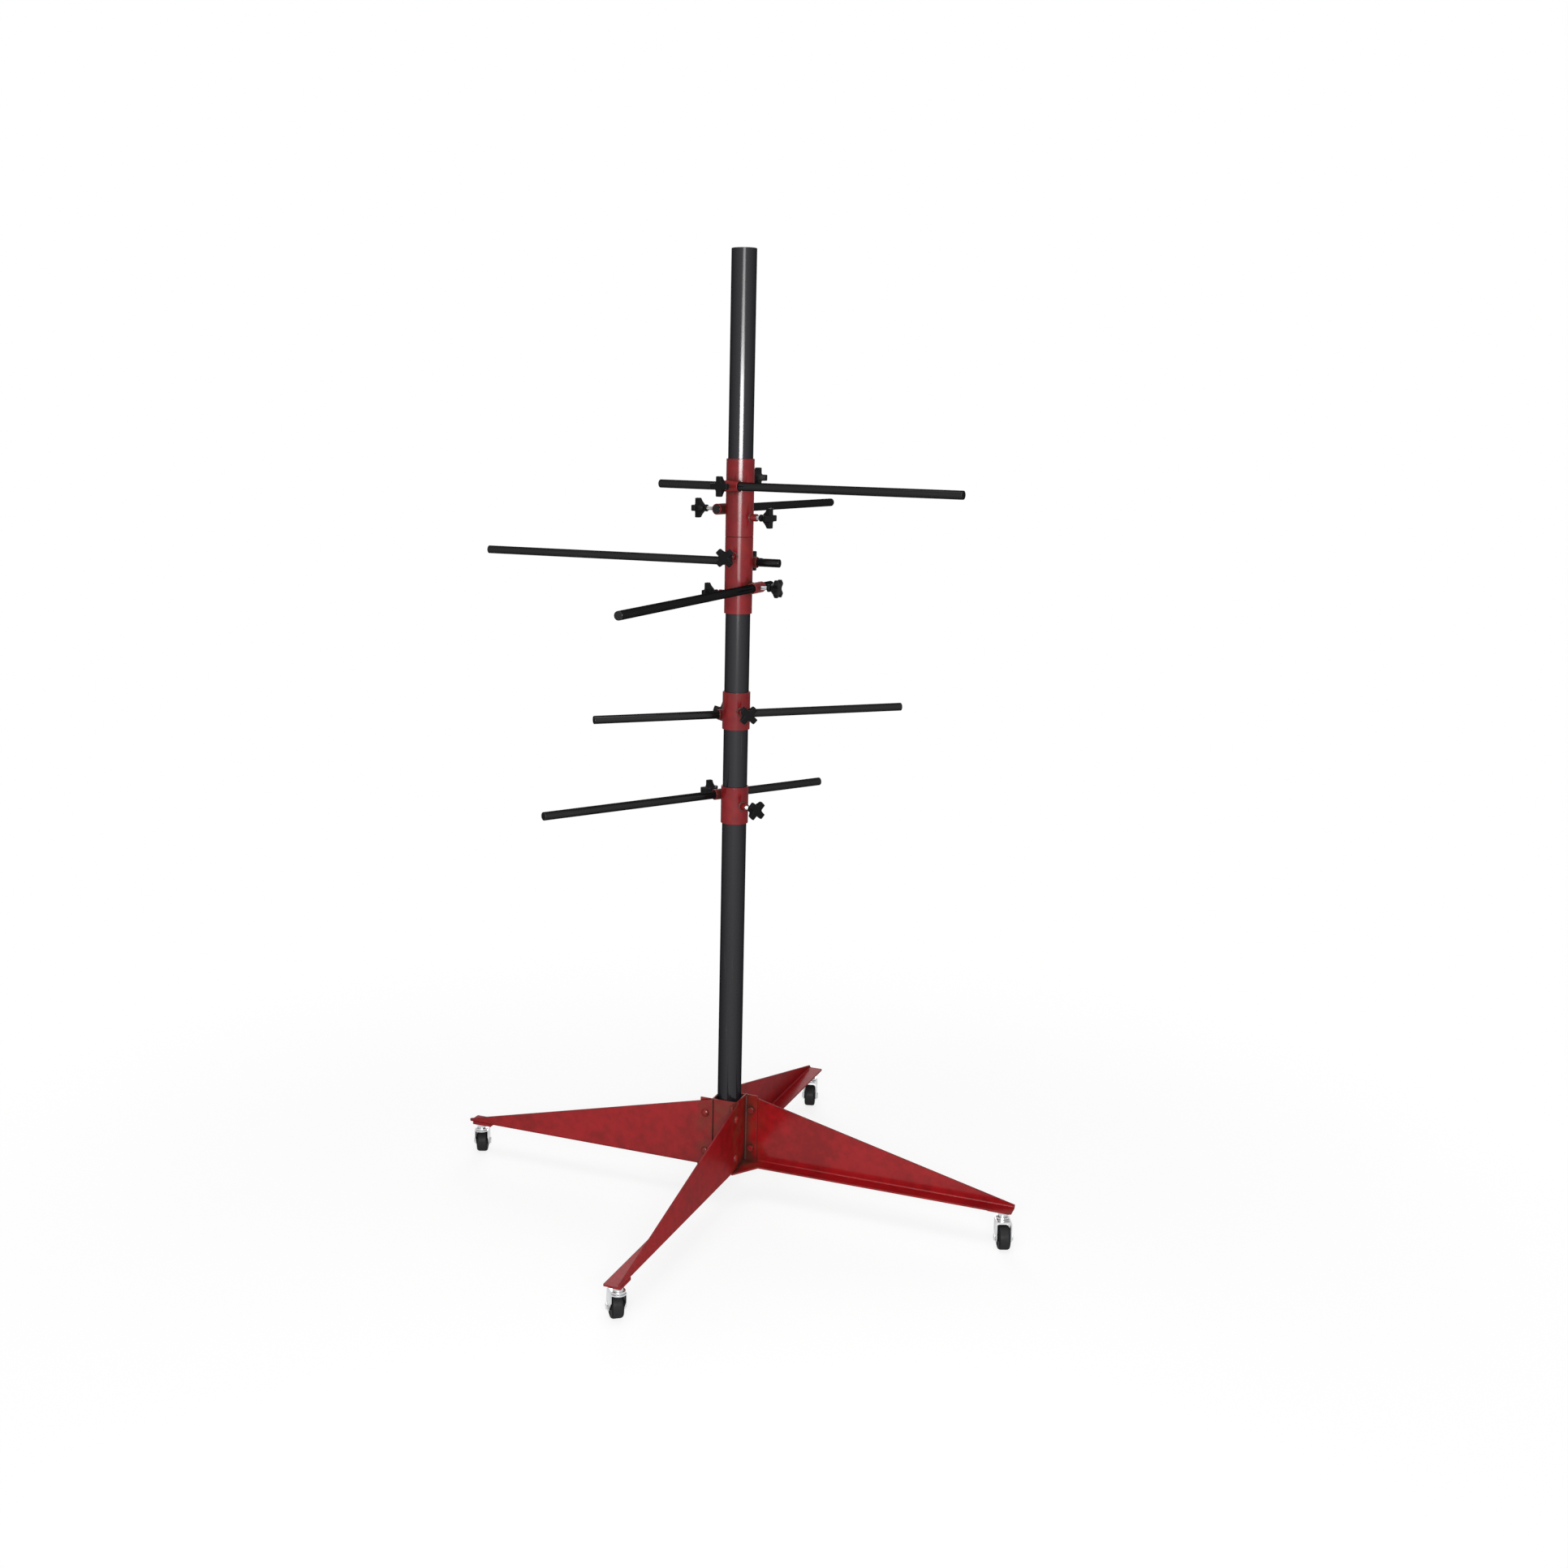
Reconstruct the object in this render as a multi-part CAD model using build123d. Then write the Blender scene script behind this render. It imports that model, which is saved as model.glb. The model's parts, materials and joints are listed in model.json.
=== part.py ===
"""Body panel rack: a rolling pole with turning sleeves that carry sliding arms.

Millimetres, +Z up.  The origin is on the floor, on the axis of the pole.
The right leg points along +X and the back leg along +Y.
"""
import os
from math import cos, radians, sin
from typing import NamedTuple

from build123d import *

# Pole: two inch tube, standing in the hub on a round foot
POLE_R = 25.4
POLE_WALL = 3.0
POLE_TOP = 1998.0
FOOT_R = 34.0
FOOT_THICK = 13.0

# Hub and legs: bent sheet, bolted together
SHEET = 3.5
HUB_GAP = 0.2
HUB_HALF = POLE_R + HUB_GAP
HUB_HEIGHT = 152.4
LEG_UNDERSIDE = 78.0
LUG_LENGTH = 26.0
LUG_END = HUB_HALF + SHEET + LUG_LENGTH
LEG_REACH = 622.0
LEG_TIP_HEIGHT = 8.0
FLANGE_WIDTH = 35.0
FLANGE_START = LUG_END + 4.0
LEG_BEND = 3.0
TIP_CORNER = 2.5
WING_REACH = 59.0
WING_END = 70.0
WING_GAP = 0.5
PAD_INSET = 6.0
PAD_LENGTH = 46.0
PAD_WIDTH = 26.0
PAD_THICK = 5.0
LEG_TURNS = {"right": 0, "back": 90, "left": 180, "front": 270}

# Bolts that hold each leg to its lug
BOLT_R = 4.0
BOLT_PLAY = 0.05
BOLT_HOLE_R = BOLT_R + BOLT_PLAY
BOLT_REACH = HUB_HALF + SHEET + LUG_LENGTH / 2
BOLT_SPACING = 86.5
BOLT_HEAD_R = 8.5
BOLT_HEAD_HEIGHT = 3.0
NUT_ACROSS_FLATS = 13.0
NUT_HEIGHT = 6.5

# Casters
WHEEL_R = 25.0
WHEEL_HALF_WIDTH = 12.0
TREAD_HALF_WIDTH = 7.0
TREAD_SHOULDER_R = 23.0
WHEEL_HUB_R = 8.5
TRAIL = 19.0
CASTER_INSET = 22.0
CASTER_OFFSET = 21.0
FORK_SHEET = 2.5
FORK_HALF_GAP = 14.0
FORK_TOP = 60.0
FORK_BEND = 2.0
FORK_CROWN_R = 16.5
FORK_REAR = 24.0
FORK_CROWN_DEPTH = 8.0
FORK_END_R = 10.0
AXLE_R = 4.0
AXLE_HEAD_ACROSS_FLATS = 13.0
AXLE_HEAD_HEIGHT = 3.0
SWIVEL_PIN_R = 5.0
SWIVEL_HEAD_R = 8.0
SWIVEL_HEAD_HEIGHT = 2.7
RACE_R = 14.5
RACE_HEIGHT = 4.0
STEM_R = 10.0
CASTER_TURNS = {"right": 293, "back": 285, "left": 113, "front": 127}

# Sleeves, sockets and arms
SLEEVE_R = 28.575
SLEEVE_LENGTH = 78.0
SLEEVE_GAP = 0.5
PAIR_HEIGHT = 1275.0
MIDDLE_HEIGHT = 1034.8
LOW_HEIGHT = 836.1
SOCKET_OFFSET = 15.0
SOCKET_R = 11.2
SOCKET_LENGTH = 50.0
ARM_R = 8.5
ARM_END_CHAMFER = 1.5
LONG_ARM = 690.0
SHORT_ARM = 457.0
BOSS_R = 7.5
BOSS_HEIGHT = 14.0

# Clamp knobs and their screws
SCREW_R = 4.0
KNOB_R = 20.0
KNOB_HEIGHT = 27.0
PRONG_WIDTH = 10.5
PRONG_TIP = 6.0
PRONG_FILLET = 4.0
NECK_R = 7.5
NECK_LENGTH = 8.0
KNOB_TURNS = {"arm_4": 45, "arm_5": 20, "sleeve_3": 45, "sleeve_5": 45, "sleeve_6": 45}

# Clearances
RUNNING = 0.08
SLIDING = 0.10
SEAT_GAP = 0.3

SLEEVE_BORE_R = POLE_R + SLIDING
SOCKET_BORE_R = ARM_R + SLIDING
SOCKET_AXIS = SLEEVE_R + SEAT_GAP + SOCKET_R
SOCKET_FACE = SOCKET_AXIS + SOCKET_R
BOSS_FACE = SLEEVE_R + BOSS_HEIGHT
SCREW_HOLE_R = SCREW_R + RUNNING
HUB_TOP = LEG_UNDERSIDE + HUB_HEIGHT
PAD_UNDERSIDE = LEG_UNDERSIDE - PAD_THICK


class Sleeve(NamedTuple):
    """A sleeve: height of its lower end, and how many arms it carries."""

    bottom: float
    arms: int


class Station(NamedTuple):
    """One arm with its socket and both clamps.

    place counts the sleeve's arms from its lower end, and the socket lies above (+1) or
    below (-1) the clamp of that place.  turn is the direction, in degrees from +X, in which
    the socket stands off the pole.  The arm starts at start, measured along the socket.
    arm_screw and sleeve_screw are the lengths of bare screw below the two knobs.
    """

    sleeve: str
    place: int
    side: int
    turn: float
    start: float
    length: float
    arm_screw: float
    sleeve_screw: float


# The upper two sleeves stand on each other
SLEEVES = {
    "sleeve_1": Sleeve(PAIR_HEIGHT + 2 * SLEEVE_LENGTH + SLEEVE_GAP, 2),
    "sleeve_2": Sleeve(PAIR_HEIGHT, 2),
    "sleeve_3": Sleeve(MIDDLE_HEIGHT, 1),
    "sleeve_4": Sleeve(LOW_HEIGHT, 1),
}

STATIONS = [
    Station("sleeve_1", 1, -1, -102, -170, LONG_ARM, 1.7, 1.4),
    Station("sleeve_1", 0, +1, 168, 27 - SHORT_ARM, SHORT_ARM, 28.7, 7.4),
    Station("sleeve_2", 1, -1, 88, -74, LONG_ARM, 1.7, 7.4),
    Station("sleeve_2", 0, +1, -2, 75 - LONG_ARM, LONG_ARM, 13.7, 4.4),
    Station("sleeve_3", 0, -1, 132, -395, LONG_ARM, 7.7, 7.4),
    Station("sleeve_4", 0, +1, 147, -255, LONG_ARM, 19.7, 13.4),
]


def clamp_height(item):
    """Height of a station's sleeve clamp: the middle of its place on the sleeve."""
    return SLEEVES[item.sleeve].bottom + (item.place + 0.5) * SLEEVE_LENGTH


def socket_height(item):
    return clamp_height(item) + item.side * SOCKET_OFFSET


def outward(height, turn):
    """Frame on the pole's axis: local Z points out along turn, local Y along the arm."""
    direction = (cos(radians(turn)), sin(radians(turn)), 0)
    return Plane(origin=(0, 0, height), x_dir=(0, 0, -1), z_dir=direction).location


def rod(radius, start, end):
    """A round bar along local Z between two heights."""
    return Pos(0, 0, start) * Cylinder(radius, end - start, align=(Align.CENTER, Align.CENTER, Align.MIN))


def tube(outer, inner, start, end):
    return rod(outer, start, end) - rod(inner, start, end)


def hexagon(across_flats, start, end):
    sketch = RegularPolygon(across_flats / 2, 6, major_radius=False)
    return Pos(0, 0, start) * extrude(sketch, end - start)


def save(name, solids):
    """Write one node, made of one solid or of several."""
    shape = Compound(children=solids) if isinstance(solids, list) else solids
    shape.label = name
    export_step(shape, os.path.join("parts", name + ".step"))


# Base


def leg_bolt_places():
    """Frames at the right leg's two bolts, local Z pointing out through the web."""
    middle = LEG_UNDERSIDE + HUB_HEIGHT / 2
    heights = (middle - BOLT_SPACING / 2, middle + BOLT_SPACING / 2)
    return [
        Plane(origin=(BOLT_REACH, 0, height), x_dir=(1, 0, 0), z_dir=(0, 1, 0)).location
        for height in heights
    ]


def drill_bolt_holes(solid):
    for place in leg_bolt_places():
        solid -= place * rod(BOLT_HOLE_R, HUB_HALF - SHEET, HUB_HALF + 3 * SHEET)
    return solid


def make_hub():
    """Four plates round the pole, each running past a corner as a lug for one leg."""
    plate = Pos(-HUB_HALF, HUB_HALF, LEG_UNDERSIDE) * Box(
        HUB_HALF + LUG_END, SHEET, HUB_HEIGHT, align=(Align.MIN, Align.MIN, Align.MIN)
    )
    plate = drill_bolt_holes(plate)
    hub = plate
    for turn in (90, 180, 270):
        hub += Rot(0, 0, turn) * plate
    return hub


def make_leg():
    """The right leg: a tapering web, its lower edge bent into a flange.

    At the hub the flange widens into a wing that reaches the next leg's web, and a pad for the
    caster lies under its tip.
    """
    inner = HUB_HALF + SHEET
    outer = inner + SHEET
    flange_edge = outer - FLANGE_WIDTH
    bottom = LEG_UNDERSIDE
    section = make_face(
        Polyline(
            (outer, bottom),
            (outer, HUB_TOP),
            (inner, HUB_TOP),
            (inner, bottom + SHEET),
            (flange_edge, bottom + SHEET),
            (flange_edge, bottom),
            close=True,
        )
    )
    outside = section.vertices().sort_by_distance((outer, bottom, 0))[0]
    section = fillet(outside, LEG_BEND + SHEET)
    inside = section.vertices().sort_by_distance((inner, bottom + SHEET, 0))[0]
    section = fillet(inside, LEG_BEND)
    start = HUB_HALF
    across = Plane(origin=(start, 0, 0), x_dir=(0, 1, 0), z_dir=(1, 0, 0))
    leg = extrude(across * section, LEG_REACH - start)

    above_slope = make_face(
        Polyline(
            (start, HUB_TOP),
            (LEG_REACH, bottom + LEG_TIP_HEIGHT),
            (LEG_REACH, HUB_TOP + SHEET),
            (start, HUB_TOP + SHEET),
            close=True,
        )
    )
    leg -= extrude(Plane.XZ * above_slope, 2 * outer, both=True)
    flange_notch = Pos(start, flange_edge, bottom) * Box(
        FLANGE_START - start, inner - flange_edge, LEG_BEND + SHEET, align=(Align.MIN, Align.MIN, Align.MIN)
    )
    leg -= flange_notch
    wing = make_face(
        Polyline(
            (outer + WING_GAP, -WING_REACH),
            (WING_END, flange_edge),
            (WING_END, HUB_HALF - WING_GAP),
            (outer + WING_GAP, HUB_HALF - WING_GAP),
            close=True,
        )
    )
    leg += Pos(0, 0, bottom) * extrude(wing, SHEET)
    tip = leg.edges().filter_by(Axis.Z).sort_by_distance((LEG_REACH, flange_edge, bottom))[0]
    leg = fillet(tip, TIP_CORNER)
    x, y = caster_xy()
    leg += Pos(LEG_REACH - PAD_INSET, y, PAD_UNDERSIDE) * Box(
        PAD_LENGTH, PAD_WIDTH, PAD_THICK, align=(Align.MAX, Align.CENTER, Align.MIN)
    )
    leg -= Pos(x, y, 0) * rod(SWIVEL_PIN_R + BOLT_PLAY, PAD_UNDERSIDE, LEG_UNDERSIDE + SHEET)
    return drill_bolt_holes(leg)


def caster_xy():
    """Swivel axis of the right caster, measured in from the leg's tip and its flange's edge."""
    flange_edge = HUB_HALF + 2 * SHEET - FLANGE_WIDTH
    return (LEG_REACH - CASTER_INSET, flange_edge + CASTER_OFFSET)


def make_leg_bolts():
    """Round-headed bolts, heads on the webs and ends inside the lugs."""
    web_face = HUB_HALF + 2 * SHEET
    end = HUB_HALF - NUT_HEIGHT
    bolt = rod(BOLT_R, end, web_face) + rod(BOLT_HEAD_R, web_face, web_face + BOLT_HEAD_HEIGHT)
    return on_every_leg(bolt)


def make_leg_nuts():
    nut = hexagon(NUT_ACROSS_FLATS, HUB_HALF - NUT_HEIGHT, HUB_HALF)
    nut -= rod(BOLT_HOLE_R, HUB_HALF - NUT_HEIGHT, HUB_HALF)
    return on_every_leg(nut)


def on_every_leg(solid):
    return [
        Rot(0, 0, turn) * place * solid for turn in LEG_TURNS.values() for place in leg_bolt_places()
    ]


# Casters, built round the swivel axis with the wheel trailing along +X


def make_stem():
    """Stem, swivel race and pin in one turned piece, riveted below the fork's crown."""
    head_top = FORK_TOP - FORK_SHEET - SEAT_GAP
    head_bottom = head_top - SWIVEL_HEAD_HEIGHT
    race_bottom = FORK_TOP + SEAT_GAP
    stem = rod(SWIVEL_PIN_R, head_bottom, LEG_UNDERSIDE + SHEET)
    stem += rod(SWIVEL_HEAD_R, head_bottom, head_top)
    stem += rod(RACE_R, race_bottom, race_bottom + RACE_HEIGHT)
    stem += rod(STEM_R, race_bottom, PAD_UNDERSIDE)
    return stem


def make_fork():
    """Bent-sheet fork: a crown round the swivel pin and two legs down to the axle."""
    half = FORK_HALF_GAP + FORK_SHEET
    crown_under = FORK_TOP - FORK_SHEET
    channel = make_face(
        Polyline(
            (-half, 0),
            (-half, FORK_TOP),
            (half, FORK_TOP),
            (half, 0),
            (FORK_HALF_GAP, 0),
            (FORK_HALF_GAP, crown_under),
            (-FORK_HALF_GAP, crown_under),
            (-FORK_HALF_GAP, 0),
            close=True,
        )
    )
    outside = channel.vertices().group_by(Axis.Y)[-1]
    channel = fillet(outside, FORK_BEND + FORK_SHEET)
    inside = channel.vertices().filter_by(lambda v: abs(v.Y - crown_under) < 0.01)
    channel = fillet(inside, FORK_BEND)
    folded = extrude(Plane.YZ * channel, FORK_REAR + TRAIL, both=True)

    crown_side = Pos((FORK_REAR - FORK_CROWN_R) / 2, FORK_TOP - FORK_CROWN_DEPTH / 2) * Rectangle(
        FORK_REAR + FORK_CROWN_R, FORK_CROWN_DEPTH
    )
    axle_end = Pos(TRAIL, WHEEL_R) * Circle(FORK_END_R)
    side = make_hull(crown_side.edges() + axle_end.edges())
    fork = folded & extrude(Plane.XZ * side, half, both=True)

    rear = Pos(TRAIL, 0) * Rectangle(2 * FORK_END_R, 2 * half)
    plan = make_hull(Circle(FORK_CROWN_R).edges() + rear.edges())
    fork = fork & extrude(plan, FORK_TOP)
    fork -= rod(SWIVEL_PIN_R + SLIDING, 0, FORK_TOP)
    fork -= axle_line() * rod(AXLE_R + BOLT_PLAY, -half, half)
    return fork


def axle_line():
    return Pos(TRAIL, 0, WHEEL_R) * Rot(-90, 0, 0)


def make_axle():
    """Axle bolt: a shank with a hexagon at each end."""
    half = FORK_HALF_GAP + FORK_SHEET
    axle = rod(AXLE_R, -half, half)
    axle += hexagon(AXLE_HEAD_ACROSS_FLATS, half, half + AXLE_HEAD_HEIGHT)
    axle += hexagon(AXLE_HEAD_ACROSS_FLATS, -half - AXLE_HEAD_HEIGHT, -half)
    return axle_line() * axle


def make_wheel():
    """Wheel with sloping tread shoulders and a hub that keeps it off the fork."""
    hub_half = FORK_HALF_GAP - SEAT_GAP
    bore = AXLE_R + RUNNING
    outline = Polyline(
        (bore, -hub_half),
        (WHEEL_HUB_R, -hub_half),
        (WHEEL_HUB_R, -WHEEL_HALF_WIDTH),
        (TREAD_SHOULDER_R, -WHEEL_HALF_WIDTH),
        (WHEEL_R, -TREAD_HALF_WIDTH),
        (WHEEL_R, TREAD_HALF_WIDTH),
        (TREAD_SHOULDER_R, WHEEL_HALF_WIDTH),
        (WHEEL_HUB_R, WHEEL_HALF_WIDTH),
        (WHEEL_HUB_R, hub_half),
        (bore, hub_half),
        close=True,
    )
    return axle_line() * revolve(Plane.XZ * make_face(outline), Axis.Z)


# Sleeves, arms and clamps


def make_sleeve(name):
    """A tube round the pole with a threaded boss for each of its clamps."""
    sleeve = SLEEVES[name]
    top = sleeve.bottom + sleeve.arms * SLEEVE_LENGTH
    solid = rod(SLEEVE_R, sleeve.bottom, top)
    clamps = [outward(clamp_height(item), item.turn + 180) for item in STATIONS if item.sleeve == name]
    for clamp in clamps:
        solid += clamp * rod(BOSS_R, 0, BOSS_FACE)
    solid -= rod(SLEEVE_BORE_R, sleeve.bottom, top)
    for clamp in clamps:
        solid -= clamp * rod(SCREW_HOLE_R, 0, BOSS_FACE)
    return solid


def along_arm(item):
    """Frame at a station's socket: local Z runs along the arm."""
    return outward(socket_height(item), item.turn) * Pos(0, 0, SOCKET_AXIS) * Rot(-90, 0, 0)


def make_socket(item):
    socket = along_arm(item) * tube(SOCKET_R, SOCKET_BORE_R, -SOCKET_LENGTH / 2, SOCKET_LENGTH / 2)
    hole = rod(SCREW_HOLE_R, SOCKET_AXIS, SOCKET_FACE)
    return socket - outward(socket_height(item), item.turn) * hole


def make_arm(item):
    arm = rod(ARM_R, item.start, item.start + item.length)
    arm = chamfer(arm.edges().filter_by(GeomType.CIRCLE), ARM_END_CHAMFER)
    return along_arm(item) * arm


def make_knob(base, turn):
    """Four-pronged knob, base being its foot: a horn that widens from the neck, cut to a star."""
    top = base + KNOB_HEIGHT
    profile = Polyline(
        (0, base),
        (NECK_R, base),
        (NECK_R, base + NECK_LENGTH),
        (KNOB_R, top - PRONG_TIP),
        (KNOB_R, top),
        (0, top),
        close=True,
    )
    horn = revolve(Plane.XZ * make_face(profile), Axis.Z)
    prong = Rectangle(2 * KNOB_R, PRONG_WIDTH)
    star = prong + Rot(0, 0, 90) * prong
    inner_corners = star.vertices().sort_by(lambda v: v.X**2 + v.Y**2)[:4]
    star = fillet(inner_corners, PRONG_FILLET)
    return horn & Pos(0, 0, base) * Rot(0, 0, turn) * extrude(star, KNOB_HEIGHT)


def save_clamp(name, frame, base, seat):
    """Write a knob and its screw, the screw's tip standing just off the seat."""
    save(f"knob_{name}", frame * make_knob(base, KNOB_TURNS.get(name, 0)))
    save(f"screw_{name}", frame * rod(SCREW_R, seat + SEAT_GAP, base))


def main():
    os.makedirs("parts", exist_ok=True)
    save("pole", tube(POLE_R, POLE_R - POLE_WALL, LEG_UNDERSIDE, POLE_TOP))
    save("pole_foot", rod(FOOT_R, LEG_UNDERSIDE - FOOT_THICK, LEG_UNDERSIDE))
    save("hub", make_hub())
    save("leg_bolts", make_leg_bolts())
    save("leg_nuts", make_leg_nuts())

    leg, stem, fork, axle, wheel = make_leg(), make_stem(), make_fork(), make_axle(), make_wheel()
    stems = []
    for side, turn in LEG_TURNS.items():
        save("leg_" + side, Rot(0, 0, turn) * leg)
        swivel = Rot(0, 0, turn) * Pos(*caster_xy(), 0)
        trailing = swivel * Rot(0, 0, CASTER_TURNS[side] - turn)
        stems.append(swivel * stem)
        save("fork_" + side, trailing * fork)
        save("axle_" + side, trailing * axle)
        save("wheel_" + side, trailing * wheel)
    save("caster_stems", stems)

    for name in SLEEVES:
        save(name, make_sleeve(name))
        sockets = [make_socket(item) for item in STATIONS if item.sleeve == name]
        save("socket_" + name[-1], sockets)

    for number, item in enumerate(STATIONS, 1):
        save(f"arm_{number}", make_arm(item))
        arm_frame = outward(socket_height(item), item.turn)
        save_clamp(f"arm_{number}", arm_frame, SOCKET_FACE + item.arm_screw, SOCKET_AXIS + ARM_R)
        sleeve_frame = outward(clamp_height(item), item.turn + 180)
        save_clamp(f"sleeve_{number}", sleeve_frame, BOSS_FACE + item.sleeve_screw, POLE_R)


if __name__ == "__main__":
    main()
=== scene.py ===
import json
import math

import bmesh
import bpy
from bpy.props import FloatProperty, FloatVectorProperty, PointerProperty
from mathutils import Matrix, Vector

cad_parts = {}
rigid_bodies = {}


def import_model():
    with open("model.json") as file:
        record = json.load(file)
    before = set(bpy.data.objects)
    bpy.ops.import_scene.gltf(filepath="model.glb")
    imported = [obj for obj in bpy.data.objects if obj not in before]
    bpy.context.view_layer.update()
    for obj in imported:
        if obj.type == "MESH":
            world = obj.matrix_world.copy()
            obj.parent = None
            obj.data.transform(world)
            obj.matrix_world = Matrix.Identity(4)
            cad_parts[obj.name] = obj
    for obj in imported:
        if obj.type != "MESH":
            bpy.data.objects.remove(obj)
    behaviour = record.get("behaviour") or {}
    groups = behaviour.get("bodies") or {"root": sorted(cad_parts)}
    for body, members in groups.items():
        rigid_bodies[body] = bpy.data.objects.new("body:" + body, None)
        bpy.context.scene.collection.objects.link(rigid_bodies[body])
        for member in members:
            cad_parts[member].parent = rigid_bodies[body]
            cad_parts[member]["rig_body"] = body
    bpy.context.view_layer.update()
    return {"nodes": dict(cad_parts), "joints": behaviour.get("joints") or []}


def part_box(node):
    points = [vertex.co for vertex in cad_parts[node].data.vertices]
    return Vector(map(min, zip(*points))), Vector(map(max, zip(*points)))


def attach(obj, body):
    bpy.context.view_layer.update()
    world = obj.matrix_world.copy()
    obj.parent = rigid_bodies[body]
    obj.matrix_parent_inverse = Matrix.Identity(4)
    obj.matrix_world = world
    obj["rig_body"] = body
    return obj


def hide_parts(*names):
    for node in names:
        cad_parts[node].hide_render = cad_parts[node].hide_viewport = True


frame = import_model()

bl_info = {
    "name": "Body panel rack",
    "version": (1, 0, 0),
    "blender": (4, 5, 0),
    "location": "3D View > Sidebar > Rack",
    "description": "Models and finishes a rolling pole with turning sleeves, sliding arms and clamps",
    "category": "Add Mesh",
}

NODES = frame["nodes"]
JOINTS = {joint["name"]: joint for joint in frame["joints"]}
SIDES = ("right", "back", "left", "front")
ARMS = range(1, 7)
SLEEVES = range(1, 5)
CLAMPS = [f"{kind}_{number}" for kind in ("arm", "sleeve") for number in ARMS]
OWN_PLACE = "own_place"
TOUCH = 1e-5
DOWN = (0, 0, -1)


# Settings


def length(name, description, default):
    """A size in metres."""
    return FloatProperty(
        name=name, description=description, default=default, unit="LENGTH", precision=5
    )


def colour(name, description, default):
    """An opaque colour in linear light."""
    return FloatVectorProperty(
        name=name, description=description, default=(*default, 1.0),
        size=4, subtype="COLOR", min=0.0, max=1.0,
    )


class RackSizes(bpy.types.PropertyGroup):
    """Sizes of the forms that the solids leave plain"""

    sheet_edge: length("Sheet edge", "Rounding along the cut edges of bent sheet", 0.0006)
    tube_edge: length("Tube edge", "Rounding at the ends of tubes and bars", 0.0009)
    bend: length("Leg bend", "Outer radius of the bend between web and flange", 0.0065)
    weld: length("Weld bead", "Radius of the weld beads", 0.0022)
    thread_pitch: length("Thread pitch", "Rise of the screw thread in one turn", 0.00125)
    thread_depth: length("Thread depth", "Height of the screw thread", 0.0006)
    knob_edge: length("Knob edge", "Rounding along the edges of a knob", 0.0016)
    tyre_shoulder: length("Tyre shoulder", "Rounding between tread and side of a wheel", 0.004)


class RackColours(bpy.types.PropertyGroup):
    """Colours of the finishes"""

    red: colour("Stand paint", "Gloss paint on hub, legs, bolts and nuts", (0.22, 0.005, 0.007))
    # sleeve: the stand's red made darker as painted shade on the sleeves and sockets
    sleeve: colour("Sleeve paint", "Gloss paint on sleeves and sockets", (0.155, 0.005, 0.008))
    pole: colour("Pole paint", "Paint on the pole and its foot", (0.007, 0.007, 0.009))
    bar: colour("Arm paint", "Paint on the arms", (0.004, 0.004, 0.0045))
    plastic: colour("Plastic", "Moulded knobs", (0.0035, 0.0035, 0.004))
    zinc: colour("Zinc", "Plated screws, forks and axles", (0.68, 0.69, 0.70))
    rubber: colour("Rubber", "Wheels", (0.008, 0.008, 0.0085))
    primer: colour("Bare metal", "Dark steel where paint has chipped", (0.055, 0.050, 0.048))
    # corner_shade: painted shade, a dark brown laid into the red paint's corners near the pole
    corner_shade: colour("Grime", "Brown dirt gathered in the corners of the red paint", (0.030, 0.016, 0.011))
    # dust: brown in patches all over as dust, laid on thickly near the pole as painted shade
    dust: colour("Dust", "Brown film in patches on the red paint", (0.11, 0.046, 0.02))
    rub: colour("Rub marks", "Pale lines rubbed along the pole and arms", (0.11, 0.11, 0.115))
    steel: colour("Worn ends", "Bare steel at the worn ends of the pole and arms", (0.20, 0.195, 0.19))
    tarnish: colour("Tarnish", "Dulled patches of the plating", (0.50, 0.49, 0.46))
    floor: colour("Floor", "Floor and background", (0.90, 0.90, 0.90))


# Modelling


def only(piece):
    """Select one piece alone and make it the active one."""
    bpy.ops.object.select_all(action="DESELECT")
    piece.select_set(True)
    bpy.context.view_layer.objects.active = piece


def primitive(kind, scale=(1, 1, 1), **sizes):
    """Add one primitive with nothing else selected, its place put in its mesh."""
    bpy.ops.object.select_all(action="DESELECT")
    getattr(bpy.ops.mesh, f"primitive_{kind}_add")(**sizes)
    bpy.context.object.scale = scale
    bpy.ops.object.transform_apply(location=True, rotation=True, scale=True)
    return bpy.context.object


def block(low, high):
    """A box between two corners."""
    low, high = Vector(low), Vector(high)
    return primitive("cube", size=1, location=(low + high) / 2, scale=high - low)


def edit(piece):
    """Open one piece in edit mode."""
    only(piece)
    bpy.ops.object.mode_set(mode="EDIT")


def done():
    """Leave edit mode."""
    bpy.ops.object.mode_set(mode="OBJECT")


def pick(piece, kind, test):
    """In edit mode, select only the verts, edges or faces that pass the test."""
    bpy.ops.mesh.select_mode(type=kind)
    bpy.ops.mesh.select_all(action="DESELECT")
    mesh = bmesh.from_edit_mesh(piece.data)
    mesh.normal_update()
    items = {"VERT": mesh.verts, "EDGE": mesh.edges, "FACE": mesh.faces}[kind]
    chosen = [item for item in items if test(item)]
    if not chosen:
        raise RuntimeError(f"nothing to select on {piece.name}")
    for item in chosen:
        item.select_set(True)
    mesh.select_flush_mode()
    bmesh.update_edit_mesh(piece.data)


def middle(item):
    """Middle of an edge or a face."""
    return sum((vert.co for vert in item.verts), Vector()) / len(item.verts)


def near(value, target):
    """Whether two numbers agree."""
    return abs(value - target) < TOUCH


def look_out(piece, axis):
    """In edit mode, make all faces agree, the one furthest along an axis looking outward."""
    bpy.ops.mesh.select_all(action="SELECT")
    bpy.ops.mesh.normals_make_consistent(inside=False)
    furthest = max(bmesh.from_edit_mesh(piece.data).faces, key=lambda face: middle(face)[axis])
    if furthest.normal[axis] < 0:
        bpy.ops.mesh.flip_normals()


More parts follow.
